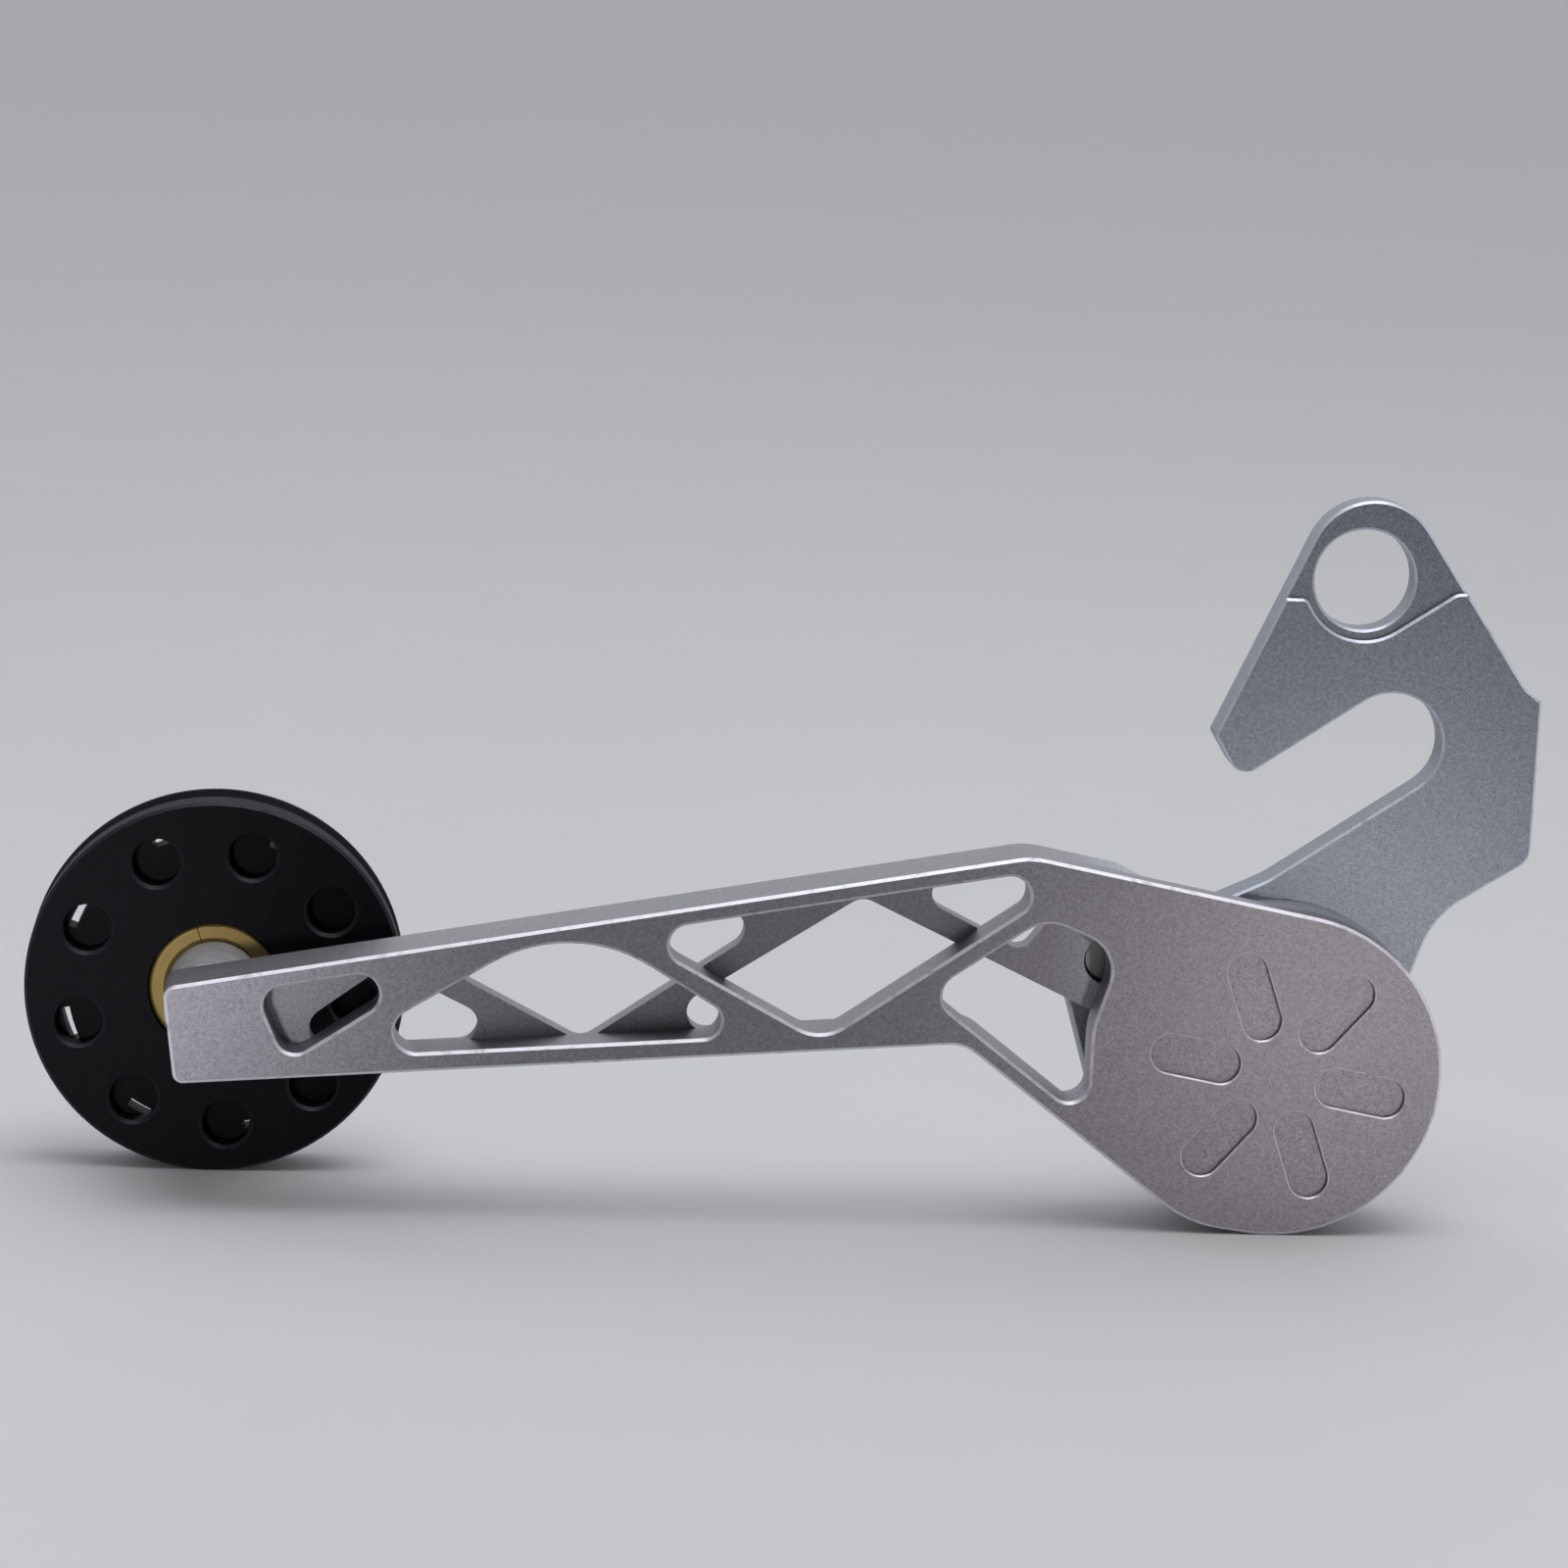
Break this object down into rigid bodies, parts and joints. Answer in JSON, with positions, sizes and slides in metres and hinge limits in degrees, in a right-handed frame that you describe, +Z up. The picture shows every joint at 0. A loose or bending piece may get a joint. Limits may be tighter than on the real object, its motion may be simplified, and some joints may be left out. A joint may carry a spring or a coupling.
{
  "type": "chain tensioner",
  "caption": "Sprung chain tensioner for a bicycle: a crossed truss arm with a floating pulley at its end, hinged on a claw hanger with an eye and an open axle slot.",
  "frame": {"origin": "under the middle of the device, on the surface it rests on", "axes": "+X along the arm from the pulley to the hanger, +Y from the arm's front face to the back, +Z up"},
  "size_m": [0.1508, 0.0276, 0.0734],
  "materials": {
    "arm_anodised": "bead-blasted silver anodising",
    "hanger_anodised": "bead-blasted bluish grey anodising",
    "black_anodised": "satin black anodising",
    "raw_aluminium": "turned, uncoated",
    "bronze": "plain bronze",
    "steel": "turned",
    "dark_steel": "blackened",
    "spring_steel": "drawn wire"
  },
  "bodies": {
    "hanger": {"hanger_plate": "hanger_anodised", "pivot_bush_front": "bronze", "pivot_bush_rear": "bronze"},
    "arm": {"tension_arm": "arm_anodised", "pivot_axle": "steel", "pivot_washer": "steel", "pivot_screw": "dark_steel", "stop_pin": "steel", "torsion_spring": "spring_steel", "pulley_post": "raw_aluminium", "post_washer": "steel", "post_screw": "dark_steel"},
    "bush": {"pulley_bush": "bronze", "bush_shim": "steel", "bush_clip": "dark_steel"},
    "wheel": {"pulley_wheel": "black_anodised", "pulley_cover": "black_anodised", "cover_screw": "dark_steel"}
  },
  "joints": [
    {"name": "arm_pivot", "type": "hinge", "parent": "hanger", "child": "arm", "pos_m": [0.04977, -0.00495, 0.0165], "axis": [0, 1, 0], "range_deg": [0, 45], "stiffness_Nm_per_rad": 0.8, "springref_deg": -40.11, "deforming": ["torsion_spring"]},
    {"name": "pulley_float", "type": "slide", "parent": "arm", "child": "bush", "axis": [0, 1, 0], "range_m": [-0.008, 0]},
    {"name": "pulley_spin", "type": "hinge", "parent": "bush", "child": "wheel", "pos_m": [-0.05633, 0.00615, 0.0191], "axis": [0, 1, 0], "continuous": true}
  ]
}
